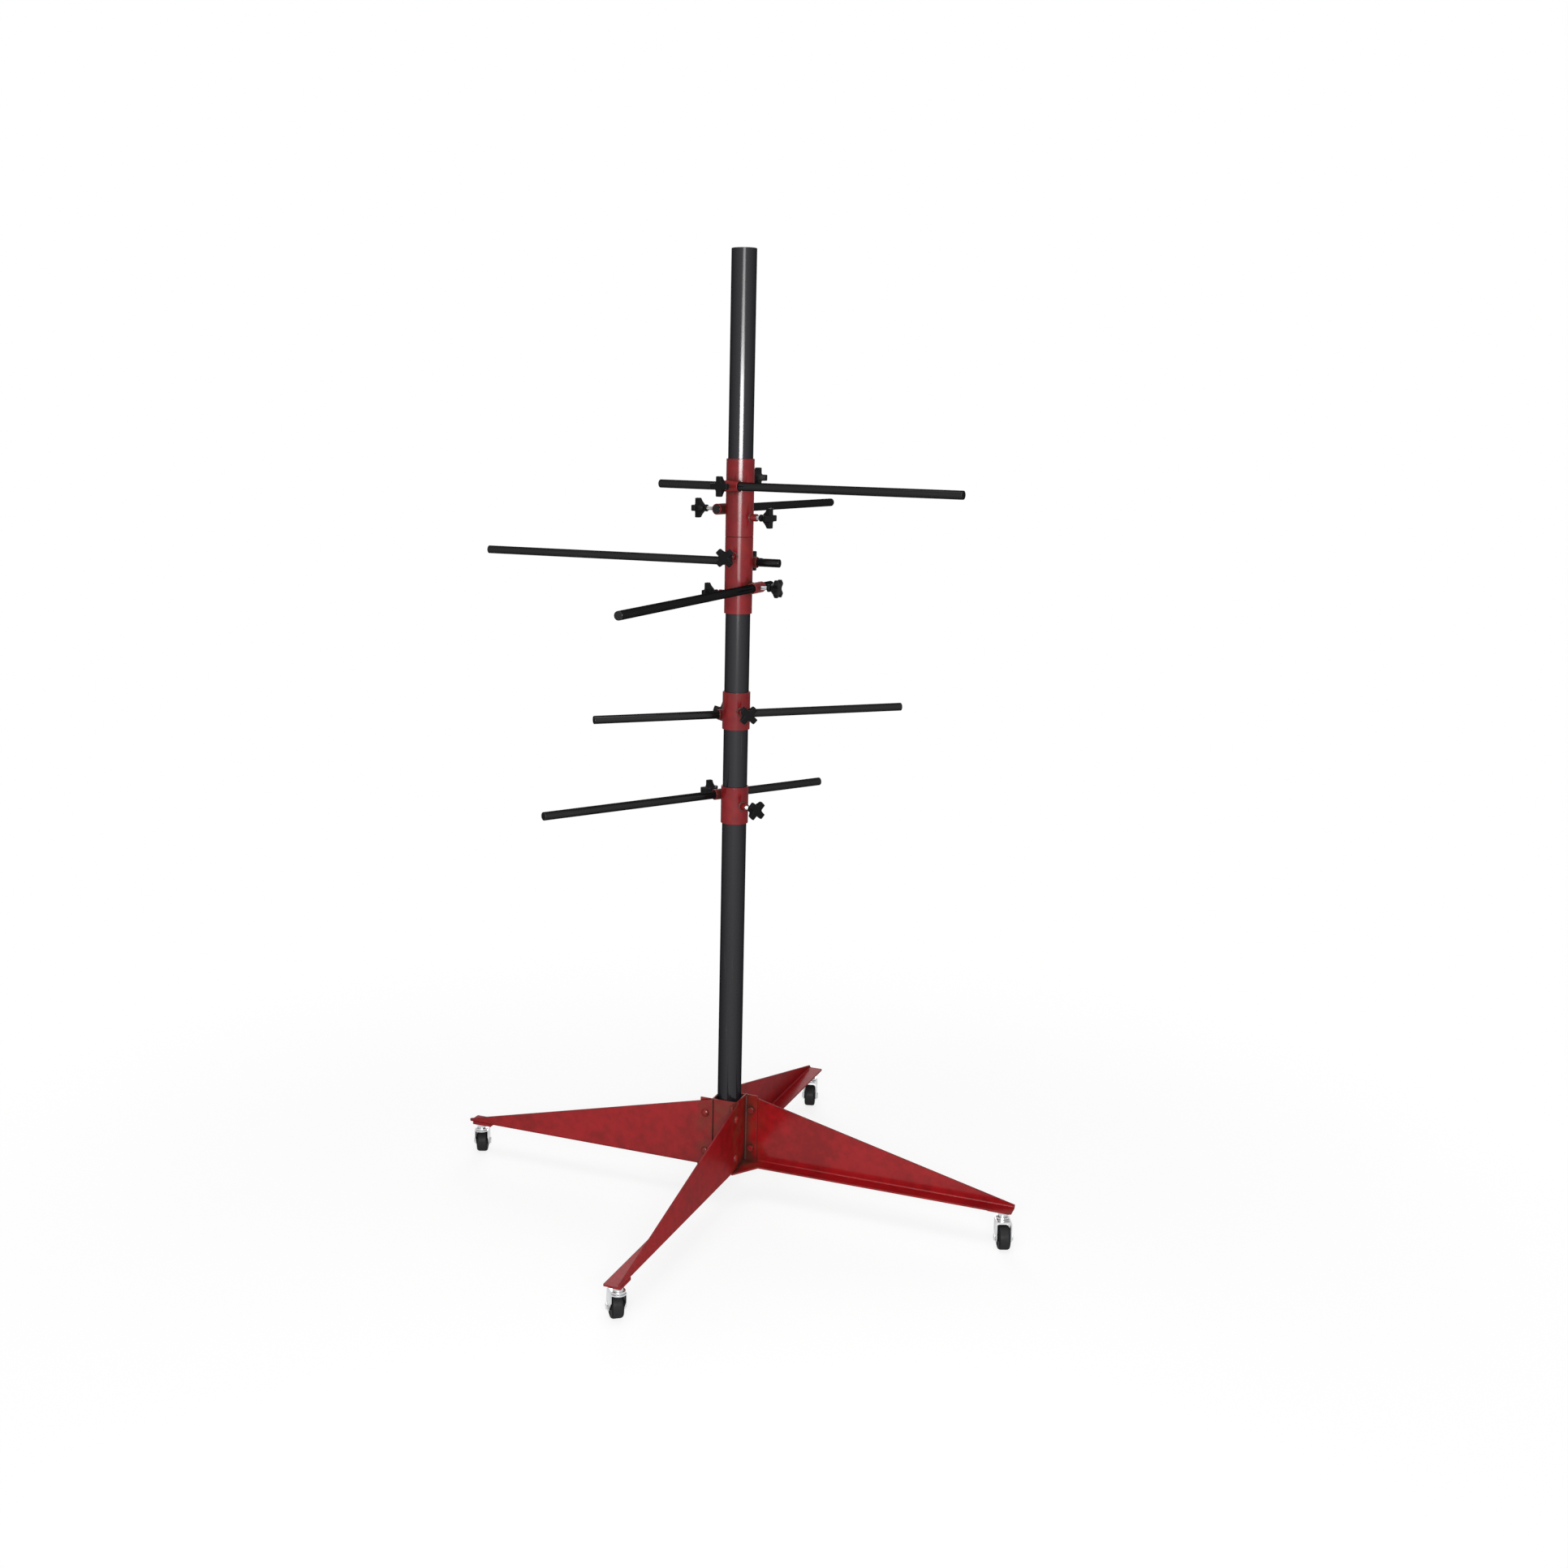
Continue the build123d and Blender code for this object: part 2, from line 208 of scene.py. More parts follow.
def modify(piece, kind, **settings):
    """Add one modifier and apply it."""
    only(piece)
    modifier = piece.modifiers.new(kind.title(), kind)
    for key, value in settings.items():
        setattr(modifier, key, value)
    bpy.ops.object.modifier_apply(modifier=modifier.name)


def round_edges(piece, width, segments=3, angle=50):
    """Round the edges that turn by more than an angle."""
    modify(
        piece, "BEVEL", width=width, segments=segments, limit_method="ANGLE",
        angle_limit=math.radians(angle), use_clamp_overlap=True,
    )


def cut(piece, tool, operation="DIFFERENCE"):
    """Cut a piece with a tool, which is used up."""
    modify(piece, "BOOLEAN", object=tool, operation=operation, solver="EXACT")
    bpy.data.objects.remove(tool)


def join(pieces):
    """Join pieces into the first of them."""
    if len(pieces) == 1:
        return pieces[0]
    bpy.ops.object.select_all(action="DESELECT")
    for piece in pieces:
        piece.select_set(True)
    bpy.context.view_layer.objects.active = pieces[0]
    bpy.ops.object.join()
    return bpy.context.object


def copy_of(piece, place):
    """A copy with its own mesh, moved to its place."""
    copy = piece.copy()
    copy.data = piece.data.copy()
    copy.data.transform(place)
    bpy.context.scene.collection.objects.link(copy)
    return copy


def discard(*pieces):
    """Remove pieces that were only there to be copied."""
    for piece in pieces:
        bpy.data.objects.remove(piece)


def smooth(piece, angle=40):
    """Shade by angle with large faces kept true, and keep each vertex's own place for patterns."""
    only(piece)
    bpy.ops.object.shade_smooth_by_angle(angle=math.radians(angle))
    modify(piece, "WEIGHTED_NORMAL", keep_sharp=True)
    own = piece.data.attributes.new(OWN_PLACE, "FLOAT_VECTOR", "POINT")
    own.data.foreach_set("vector", [value for vert in piece.data.vertices for value in vert.co])


ARC = [math.radians(angle) for angle in (22.5, 45, 67.5, 90)]


def rim(radius, end, by, out):
    """Steps that round an outer edge; out is 1 at an upper end and -1 at a lower one."""
    return [
        (radius - by + by * math.cos(turn), end - out * by * (1 - math.sin(turn))) for turn in ARC
    ]


def mouth(radius, end, by, out):
    """Steps that round the edge of a bore."""
    start = [(radius + by, end)]
    return start + [
        (radius + by - by * math.sin(turn), end - out * by * (1 - math.cos(turn))) for turn in ARC
    ]


def turned(radius, low, high, low_end=(), high_end=(), sides=64, through=False):
    """A bar turned along Z, its ends stepped in and out by (radius, height)."""
    bar = primitive(
        "cylinder", vertices=sides, radius=radius, depth=high - low, location=(0, 0, (low + high) / 2)
    )
    edit(bar)
    for height, steps in ((low, low_end), (high, high_end)):
        now = radius
        pick(bar, "FACE", lambda face: len(face.verts) == sides and near(middle(face).z, height))
        for step_radius, step_height in steps:
            bpy.ops.mesh.extrude_region_move(
                TRANSFORM_OT_translate={"value": (0, 0, step_height - height)}
            )
            scale = step_radius / now
            bpy.ops.transform.resize(value=(scale, scale, 1), center_override=(0, 0, step_height))
            now, height = step_radius, step_height
    if through:
        pick(bar, "FACE", lambda face: len(face.verts) == sides)
        bpy.ops.mesh.delete(type="ONLY_FACE")
        pick(bar, "EDGE", lambda edge: edge.is_boundary or edge.is_wire)
        bpy.ops.mesh.bridge_edge_loops()
    done()
    return bar


def tube(outer, inner, low, high, edge, sides=64):
    """A tube along Z with rounded rims."""
    return turned(
        outer, low + edge, high - edge,
        rim(outer, low, edge, -1) + mouth(inner, low, edge / 2, -1),
        rim(outer, high, edge, 1) + mouth(inner, high, edge / 2, 1),
        sides, through=True,
    )


def hexagon(across, low, high, end_share=0.48, slope=0.6, spare=1.02):
    """A hexagon along Z, its corners turned off at both ends down to a share of its width."""
    corner = across / math.sqrt(3)
    flat = end_share * across
    fall = (corner - flat) * slope
    piece = primitive(
        "cylinder", vertices=6, radius=corner, depth=high - low, location=(0, 0, (low + high) / 2)
    )
    lens = turned(corner * spare, low + fall, high - fall, [(flat, low)], [(flat, high)], 48)
    cut(piece, lens, "INTERSECT")
    return piece


def bead_ring(radius, bead, lift, ripples=16, ripple_depth=0.10):
    """A weld bead round the local Z axis, each point raised by lift(x, y) and rippled."""
    ring = primitive(
        "torus", major_radius=radius, minor_radius=bead, major_segments=48, minor_segments=10
    )
    for vert in ring.data.vertices:
        turn = math.atan2(vert.co.y, vert.co.x)
        ripple = 1 + ripple_depth * math.cos(turn * ripples)
        vert.co.z = vert.co.z * ripple + lift(vert.co.x, vert.co.y)
    return ring


def frame_at(origin, along, across):
    """Matrix that puts local Z along one direction and local X along another."""
    z_axis = Vector(along).normalized()
    y_axis = z_axis.cross(Vector(across)).normalized()
    x_axis = y_axis.cross(z_axis)
    turn = Matrix((x_axis, y_axis, z_axis)).transposed().to_4x4()
    return Matrix.Translation(origin) @ turn


def joint_frame(name):
    """A joint's place, local Z along its axis."""
    joint = JOINTS[name]
    return frame_at(joint["pos_m"], joint["axis"], DOWN)


def clamp_places(kind, low, high):
    """Frames on the pole's axis between two heights, local Z pointing out through each clamp."""
    joints = [JOINTS[f"knob_{kind}_{number}_turn"] for number in ARMS]
    return [
        frame_at((0, 0, joint["pos_m"][2]), joint["axis"], DOWN)
        for joint in joints if low < joint["pos_m"][2] < high
    ]


def reach(node, place):
    """Lowest and highest corner of a node, measured in a frame of its own."""
    back = place.inverted()
    points = [back @ vert.co for vert in NODES[node].data.vertices]
    low = Vector([min(point[axis] for point in points) for axis in range(3)])
    high = Vector([max(point[axis] for point in points) for axis in range(3)])
    return low, high


def about_pole(turns):
    """Quarter turns about the pole."""
    return Matrix.Rotation(math.radians(90 * turns), 4, "Z")


def dress(piece, name, finish_name, node):
    """Name and finish a piece, and let it stand for its node."""
    material, slot = finish(finish_name)
    piece.name = piece.data.name = name
    piece.data.materials.clear()
    piece.data.materials.append(material)
    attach(piece, NODES[node]["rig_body"])
    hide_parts(node)


# Finishes


class Value:
    """A shader value that takes part in sums: each operator adds a Math node."""

    def __init__(self, wiring, socket):
        self.wiring = wiring
        self.socket = socket

    def math(self, operation, first, second):
        return self.wiring.node("ShaderNodeMath", {"operation": operation}, {0: first, 1: second})

    def __add__(self, other):
        return self.math("ADD", self, other)

    def __radd__(self, other):
        return self.math("ADD", other, self)

    def __sub__(self, other):
        return self.math("SUBTRACT", self, other)

    def __rsub__(self, other):
        return self.math("SUBTRACT", other, self)

    def __mul__(self, other):
        return self.math("MULTIPLY", self, other)

    def __rmul__(self, other):
        return self.math("MULTIPLY", other, self)


class Wiring:
    """A node tree being wired."""

    def __init__(self, tree):
        self.tree = tree
        tree.nodes.clear()

    def node(self, kind, settings=None, sockets=None, output=0):
        """Add a node, set it up, fill or link its sockets, and give one of its outputs."""
        node = self.tree.nodes.new(kind)
        for key, value in (settings or {}).items():
            setattr(node, key, value)
        for key, value in (sockets or {}).items():
            socket = next(
                socket for number, socket in enumerate(node.inputs)
                if key in (number, socket.identifier) or (key == socket.name and socket.enabled)
            )
            if isinstance(value, Value):
                self.tree.links.new(value.socket, socket)
            else:
                socket.default_value = value
        for number, socket in enumerate(node.outputs):
            if output in (number, socket.identifier) or (output == socket.name and socket.enabled):
                return Value(self, socket)

    def place(self):
        """Where a point stands in the rack at rest."""
        return self.node("ShaderNodeTexCoord", output="Object")

    def own_place(self):
        """Where a point stood in its piece before the piece was set in the rack."""
        return self.node("ShaderNodeAttribute", {"attribute_name": OWN_PLACE}, output="Vector")

    def stretched(self, place, scale):
        return self.node("ShaderNodeMapping", None, {"Vector": place, "Scale": scale})

    def noise(self, place, scale, detail=3.0, roughness=0.5):
        return self.node(
            "ShaderNodeTexNoise", None,
            {"Vector": place, "Scale": scale, "Detail": detail, "Roughness": roughness},
        )

    def ramp(self, value, low, high):
        """0 below low, 1 above high, smooth between."""
        return self.node(
            "ShaderNodeMapRange", {"interpolation_type": "SMOOTHSTEP"},
            {"Value": value, "From Min": low, "From Max": high},
        )

    def mix(self, factor, first, second):
        return self.node(
            "ShaderNodeMix", {"data_type": "RGBA"},
            {"Factor_Float": factor, "A_Color": first, "B_Color": second}, output="Result_Color",
        )

    def edges(self, reach):
        """1 on the outer edges of a piece, 0 further than the reach from them."""
        depth = self.node(
            "ShaderNodeAmbientOcclusion", {"inside": True, "only_local": True, "samples": 8},
            {"Distance": reach}, output="AO",
        )
        return self.ramp(depth, 0.98, 0.55)

    def corners(self, reach):
        """1 deep in inner corners, 0 further than the reach from them."""
        clear = self.node(
            "ShaderNodeAmbientOcclusion", {"samples": 8}, {"Distance": reach}, output="AO"
        )
        return self.ramp(clear, 0.92, 0.5)

    def from_axis(self, place):
        """Distance from the upright axis of a place."""
        flat = self.node(
            "ShaderNodeVectorMath", {"operation": "MULTIPLY"}, {0: place, 1: (1.0, 1.0, 0.0)}
        )
        return self.node("ShaderNodeVectorMath", {"operation": "LENGTH"}, {0: flat}, output="Value")

    def bump(self, height, distance, strength):
        return self.node(
            "ShaderNodeBump", None, {"Height": height, "Distance": distance, "Strength": strength}
        )

    def gloss(self, most):
        """Gloss that thins toward the outline of the piece."""
        facing = self.node("ShaderNodeLayerWeight", None, {"Blend": 0.5}, output="Facing")
        toward = 1 - facing
        return most * toward * toward * toward

    def surface(self, **sockets):
        """Principled shader at the end; names use _ for a space."""
        named = {key.replace("_", " "): value for key, value in sockets.items()}
        shader = self.node("ShaderNodeBsdfPrincipled", None, named)
        self.node("ShaderNodeOutputMaterial", None, {"Surface": shader})


def shade(base, by):
    """A colour made lighter or darker."""
    return (*(min(1.0, part * by) for part in base[:3]), 1.0)


# The last argument sets how strong the brown layer of dust and painted shade is.
def wire_gloss_paint(wiring, colours, base, dust):
    """Gloss paint over sheet: mottled, scuffed, chipped along the edges, with painted shade by the
    pole: corners darkened and a brown layer over patchy dust.
    """
    place = wiring.place()
    by_pole = wiring.ramp(wiring.from_axis(place), 0.09, 0.045)
    broad = wiring.noise(place, 7.0, 2.0)
    blotch = wiring.noise(place, 55.0, 3.0, 0.6)
    fine = wiring.noise(place, 260.0, 5.0, 0.65)
    scuffs = wiring.noise(wiring.stretched(place, (35.0, 35.0, 420.0)), 1.0, 2.0)
    chips = wiring.ramp(wiring.edges(0.0016) * 0.45 + fine, 0.82, 0.92)
    scuff = wiring.ramp(scuffs, 0.68, 0.76) * 0.35
    # Painted shade: corners near the pole darkened toward a dark brown, broken up by blotches, with
    # less gloss there
    corner_shade = wiring.ramp(wiring.corners(0.03) * by_pole * 0.7 + blotch * 0.5, 0.4, 0.9)
    # Brown layer: patchy dust all over, much thicker near the pole, where it is painted shade
    dust_and_hub_shade = wiring.ramp(wiring.noise(place, 32.0, 2.0), 0.3, 0.7) * (0.02 + by_pole * 0.36) * dust
    mottle = wiring.ramp(broad * 0.5 + blotch * 0.5, 0.34, 0.66)
    tone = wiring.mix(mottle, shade(base, 0.78), shade(base, 1.2))
    scuffed = wiring.mix(scuff * 0.4, tone, shade(base, 1.6))
    overlaid = wiring.mix(dust_and_hub_shade, scuffed, tuple(colours.dust))
    corner_shaded = wiring.mix(corner_shade * 0.75, overlaid, tuple(colours.corner_shade))
    wiring.surface(
        Base_Color=wiring.mix(chips * 0.85, corner_shaded, tuple(colours.primer)),
        Roughness=0.45 + broad * 0.1 + scuff * 0.3 + chips * 0.25,
        Specular_IOR_Level=0.03,
        Coat_Weight=wiring.gloss(0.75) * (1 - chips) * (1 - corner_shade * 0.6),
        Coat_Roughness=0.16,
        Normal=wiring.bump(wiring.noise(place, 420.0, 1.0) * 0.4 - chips, 0.00008, 0.12),
    )


def wire_stand_paint(wiring, colours):
    """Red of the hub and legs."""
    wire_gloss_paint(wiring, colours, colours.red, 1.0)


def wire_shaded_sleeve_paint(wiring, colours):
    """The stand's red painted darker on the sleeves and sockets, as painted shade."""
    wire_gloss_paint(wiring, colours, colours.sleeve, 0.2)


def wire_dark_paint(wiring, colours, base, gloss):
    """Paint on drawn tube and bar: lengthwise streaks, worn bright in thin lines and at the ends."""
    own = wiring.own_place()
    streaks = wiring.noise(wiring.stretched(own, (240.0, 240.0, 3.0)), 1.0, 3.0, 0.6)
    rubs = wiring.noise(wiring.stretched(own, (900.0, 900.0, 7.0)), 1.0, 2.0)
    broad = wiring.noise(own, 9.0, 2.0)
    fine = wiring.noise(own, 380.0, 4.0, 0.6)
    worn = wiring.ramp(wiring.edges(0.0014) * 0.5 + fine, 0.84, 0.98)
    rubbed = wiring.ramp(rubs + broad * 0.35, 0.86, 0.98) * 0.4
    tone = wiring.mix(streaks, shade(base, 0.75), shade(base, 1.3))
    overlaid = wiring.mix(rubbed, tone, tuple(colours.rub))
    wiring.surface(
        Base_Color=wiring.mix(worn * 0.7, overlaid, tuple(colours.steel)),
        Roughness=0.45 + streaks * 0.16 + rubbed * 0.2,
        Specular_IOR_Level=0.0,
        Coat_Weight=wiring.gloss(gloss) * (1 - rubbed),
        Coat_Roughness=0.16,
        Normal=wiring.bump(fine * 0.4 + streaks * 0.6, 0.00006, 0.12),
    )


def wire_pole_paint(wiring, colours):
    """Charcoal paint of the pole."""
    wire_dark_paint(wiring, colours, colours.pole, 1.0)


def wire_bar_paint(wiring, colours):
    """Deeper black of the arms."""
    wire_dark_paint(wiring, colours, colours.bar, 0.8)


def wire_black_plastic(wiring, colours):
    """Moulded plastic: fine grain, polished and paler along the edges that hands rub."""
    place = wiring.place()
    grain = wiring.noise(place, 2600.0, 2.0)
    broad = wiring.noise(place, 60.0, 3.0)
    edge = wiring.ramp(wiring.edges(0.002) + broad * 0.3, 0.3, 1.0)
    pale = edge * 0.6 + broad * 0.15
    wiring.surface(
        Base_Color=wiring.mix(pale, shade(colours.plastic, 0.8), shade(colours.plastic, 3.0)),
        Roughness=0.52 + broad * 0.14 - edge * 0.16,
        Specular_IOR_Level=0.06,
        Coat_Weight=wiring.gloss(0.08),
        Coat_Roughness=0.35,
        Normal=wiring.bump(grain, 0.0001, 0.3),
    )


def wire_zinc(wiring, colours):
    """Bright plating: faint crystals, dulled in patches."""
    place = wiring.place()
    crystals = wiring.node(
        "ShaderNodeTexVoronoi", None, {"Vector": place, "Scale": 420.0}, output="Color"
    )
    spangle = wiring.node("ShaderNodeSeparateColor", None, {"Color": crystals})
    dull = wiring.ramp(wiring.noise(place, 70.0, 4.0, 0.6), 0.45, 0.75)
    tone = wiring.mix(spangle * 0.5, shade(colours.zinc, 0.86), shade(colours.zinc, 1.12))
    wiring.surface(
        Base_Color=wiring.mix(dull * 0.4, tone, tuple(colours.tarnish)),
        Metallic=1.0,
        Roughness=0.24 + dull * 0.2 + spangle * 0.06,
        Normal=wiring.bump(wiring.noise(place, 900.0, 2.0), 0.00008, 0.25),
    )


def wire_rubber(wiring, colours):
    """Wheel rubber: the tread dusty and scuffed, the sides darker."""
    own = wiring.own_place()
    specks = wiring.noise(own, 350.0, 4.0, 0.7)
    broad = wiring.noise(own, 90.0, 3.0)
    tread = wiring.ramp(wiring.from_axis(own) + broad * 0.002, 0.0242, 0.0258)
    dust = tread * (0.35 + specks * 0.5)
    wiring.surface(
        Base_Color=wiring.mix(dust, shade(colours.rubber, 0.7), shade(colours.rubber, 3.2)),
        Roughness=0.5 + dust * 0.3 + broad * 0.1,
        Specular_IOR_Level=0.06,
        Coat_Weight=wiring.gloss(0.15),
        Coat_Roughness=0.4,
        Normal=wiring.bump(specks + broad, 0.0003, 0.25),
    )


FINISHES = {
    "stand_paint": ("red_paint", wire_stand_paint),
    "shaded_sleeve_paint": ("red_paint", wire_shaded_sleeve_paint),
    "pole_paint": ("black_paint", wire_pole_paint),
    "bar_paint": ("black_paint", wire_bar_paint),
    "black_plastic": ("black_plastic", wire_black_plastic),
    "zinc": ("zinc", wire_zinc),
    "wheel_rubber": ("wheel_rubber", wire_rubber),
}


def finish(name):
    """A finish, made once, and the record's slot that it belongs to."""
    slot, wire = FINISHES[name]
    material = bpy.data.materials.get("rack_" + name)
    if material is None:
        material = bpy.data.materials.new("rack_" + name)
        material.use_nodes = True
        wire(Wiring(material.node_tree), bpy.context.scene.rack_colours)
    return material, slot


# Pieces


class RACK_OT_pole(bpy.types.Operator):
    """Turn the pole, open at the top, and the foot it stands on"""

    bl_idname = "rack.make_pole"
    bl_label = "Pole and foot"

    def execute(self, context):
        edge = context.scene.rack_sizes.tube_edge
        low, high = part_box("pole")
        bore = min(math.hypot(*vert.co.xy) for vert in NODES["pole"].data.vertices)
        pole = tube(high.x, bore, low.z, high.z, edge, 96)
        smooth(pole)
        dress(pole, "pole_tube", "pole_paint", "pole")
        low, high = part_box("pole_foot")
        foot = turned(
            high.x, low.z + 2 * edge, high.z - edge,
            rim(high.x, low.z, 2 * edge, -1), rim(high.x, high.z, edge, 1), 64,
        )
        smooth(foot)
        dress(foot, "pole_foot_plate", "pole_paint", "pole_foot")
        return {"FINISHED"}


class RACK_OT_hub(bpy.types.Operator):
    """Weld four plates round the pole, each running past a corner as a lug"""

    bl_idname = "rack.make_hub"
    bl_label = "Hub"

    # Weld bead: number of ripples, and shares of the bead's radius
    ripples = 48
    hollow = 0.9
    crest = 1.02
    bead_end = 0.6
    end_gap = 1.3

    def execute(self, context):
        sizes = context.scene.rack_sizes
        low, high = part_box("hub")
        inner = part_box("leg_right")[0].x
        sheet = (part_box("leg_right")[1].y - inner) / 2
        plate = block((-inner, inner, low.z), (high.x, inner + sheet, high.z))
        round_edges(plate, sizes.sheet_edge)
        seam = self.seam(low.z, high.z, sizes.weld)
        seam.data.transform(Matrix.Translation((-inner, inner + sheet, 0)))
        side = join([plate, seam])
        hub = join([side] + [copy_of(side, about_pole(turns)) for turns in (1, 2, 3)])
        smooth(hub)
        dress(hub, "hub_plates", "stand_paint", "hub")
        return {"FINISHED"}

    def seam(self, low, high, bead):
        """An upright weld bead, rippled along its length."""
        start = low + 2 * bead
        rise = (high - low - 4 * bead) / self.ripples
        widths = (self.hollow * bead, self.crest * bead)
        ripple = [(widths[step % 2], start + rise * step) for step in range(2, self.ripples + 1)]
        end, gap = self.bead_end * bead, self.end_gap * bead
        return turned(
            widths[0], start, start + rise, [(end, low + gap)], ripple + [(end, high - gap)], 12
        )


class RACK_OT_legs(bpy.types.Operator):
    """Bend one leg from sheet, with its pad, and set four round the hub"""

    bl_idname = "rack.make_legs"
    bl_label = "Legs"

    pad_inset = 0.006
    pad_length = 0.046
    pad_width = 0.026
    tip_corner = 0.0025
    under_web = 0.0025
    to_lug = 0.00045
    clear = 0.01

    def execute(self, context):
        leg = self.bent(context.scene.rack_sizes)
        for turns, side in enumerate(SIDES):
            piece = copy_of(leg, about_pole(turns))
            dress(piece, f"leg_{side}_sheet", "stand_paint", f"leg_{side}")
        discard(leg)
        return {"FINISHED"}

    def bent(self, sizes):
        """Web, flange and wing of the right leg, solid, with the pad under its tip."""
        low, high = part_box("leg_right")
        start, outer, tip = low.x, high.y, high.x
        sheet = (outer - start) / 2
        points = [vert.co for vert in NODES["leg_right"].data.vertices]
        underside = min(point.z for point in points if point.x < tip / 2)
        tip_top = max(point.z for point in points if near(point.x, tip))
        flange_edge = min(point.y for point in points if point.x > tip / 2)
        notch = min(point.x for point in points if near(point.z, underside) and point.y > start)

        web = primitive(
            "plane", size=1, location=((start + tip) / 2, outer, (underside + high.z) / 2),
            rotation=(-math.pi / 2, 0, 0), scale=(tip - start, high.z - underside, 1),
        )
        edit(web)
        pick(web, "VERT", lambda vert: near(vert.co.x, tip) and near(vert.co.z, high.z))
        bpy.ops.transform.translate(value=(0, 0, tip_top - high.z))
        pick(web, "EDGE", lambda edge: all(near(vert.co.z, underside) for vert in edge.verts))
        bpy.ops.mesh.extrude_region_move(TRANSFORM_OT_translate={"value": (0, flange_edge - outer, 0)})
        pick(web, "VERT", lambda vert: near(vert.co.x, tip) and near(vert.co.y, flange_edge))
        bpy.ops.mesh.bevel(offset=self.tip_corner, segments=6, affect="VERTICES")
        pick(web, "EDGE", lambda edge: all(
            near(vert.co.z, underside) and near(vert.co.y, outer) for vert in edge.verts
        ))
        bpy.ops.mesh.bevel(offset=sizes.bend, segments=8, affect="EDGES")
        look_out(web, 1)
        done()
        modify(web, "SOLIDIFY", thickness=sheet, offset=-1, use_even_offset=True)
        cut(
            web,
            block(
                (start - self.clear, flange_edge - self.clear, underside - self.clear),
                (notch, start + sheet, underside + sizes.bend),
            ),
        )
        cut(web, self.wing(points, flange_edge, underside, sheet), "UNION")
        round_edges(web, sizes.sheet_edge)
        swivel = Vector(JOINTS["swivel_right"]["pos_m"])
        pad = block(
            (tip - self.pad_inset - self.pad_length, swivel.y - self.pad_width / 2, low.z),
            (tip - self.pad_inset, swivel.y + self.pad_width / 2, underside + sheet / 2),
        )
        round_edges(pad, 2 * sizes.sheet_edge)
        leg = join([web, pad])
        smooth(leg)
        return leg

    def wing(self, points, flange_edge, underside, sheet):
        """The flange's inner end, cut on a slant toward the next leg."""
        corner = min(points, key=lambda point: point.y)
        side = max(point.y for point in points if near(point.x, corner.x))
        end = min(point.x for point in points if near(point.y, flange_edge))
        wing = block(
            (corner.x - self.under_web, corner.y, underside),
            (end, side + self.to_lug, underside + sheet),
        )
        edit(wing)
        bpy.ops.mesh.select_all(action="SELECT")
        bpy.ops.mesh.bisect(
            plane_co=corner, plane_no=(flange_edge - corner.y, corner.x - end, 0),
            use_fill=True, clear_outer=True,
        )
        done()
        return wing


class RACK_OT_fasteners(bpy.types.Operator):
    """Turn one round-headed bolt and one nut, and set eight of each"""

    bl_idname = "rack.make_fasteners"
    bl_label = "Leg bolts and nuts"

    shank = 0.004
    end_taper = 0.0004
    head = 0.0085
    nut_across = 0.013
    fit = 0.0001
    clear = 0.01
    # Rise of the head as a share of the solid's, its brim as a share of that, and steps of its dome
    head_rise = 0.3
    head_brim = 0.15
    head_turns = [math.radians(angle) for angle in (0, 18, 36, 54, 72, 88)]

    def execute(self, context):
        inner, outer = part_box("leg_right")[0].x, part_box("leg_right")[1].y
        nut_face = min(
            vert.co.y for vert in NODES["leg_nuts"].data.vertices if vert.co.x > 0 and vert.co.y > 0
        )
        rise = (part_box("leg_bolts")[1].y - outer) * self.head_rise
        brim, bulge = rise * self.head_brim, rise * (1 - self.head_brim)
        dome = [
            (self.head * math.cos(turn) + TOUCH, outer + brim + bulge * math.sin(turn))
            for turn in self.head_turns
        ]
        bolt = turned(
            self.shank, nut_face + self.end_taper, outer,
            [(self.shank - self.end_taper, nut_face)], [(self.head, outer)] + dome, 32,
        )
        smooth(bolt)
        nut = hexagon(self.nut_across, nut_face, inner)
        cut(nut, turned(self.shank + self.fit, nut_face - self.clear, inner + self.clear, sides=32))
        smooth(nut, 25)
        for blank, name in ((bolt, "leg_bolts"), (nut, "leg_nuts")):
            pieces = [copy_of(blank, place) for place in self.places(inner)]
            discard(blank)
            dress(join(pieces), name + "_set", "stand_paint", name)
        return {"FINISHED"}

    def places(self, inner):
        """Frames at the bolts, local Z pointing out through each web."""
        points = [vert.co for vert in NODES["leg_bolts"].data.vertices]
        heads = [point for point in points if point.x > 0 and point.y > inner]
        near_side, far_side = min(point.x for point in heads), max(point.x for point in heads)
        low, high = min(point.z for point in heads), max(point.z for point in heads)
        centre, radius = (near_side + far_side) / 2, (far_side - near_side) / 2
        for turns in range(4):
            for height in (low + radius, high - radius):
                yield about_pole(turns) @ frame_at((centre, 0, height), (0, 1, 0), (1, 0, 0))


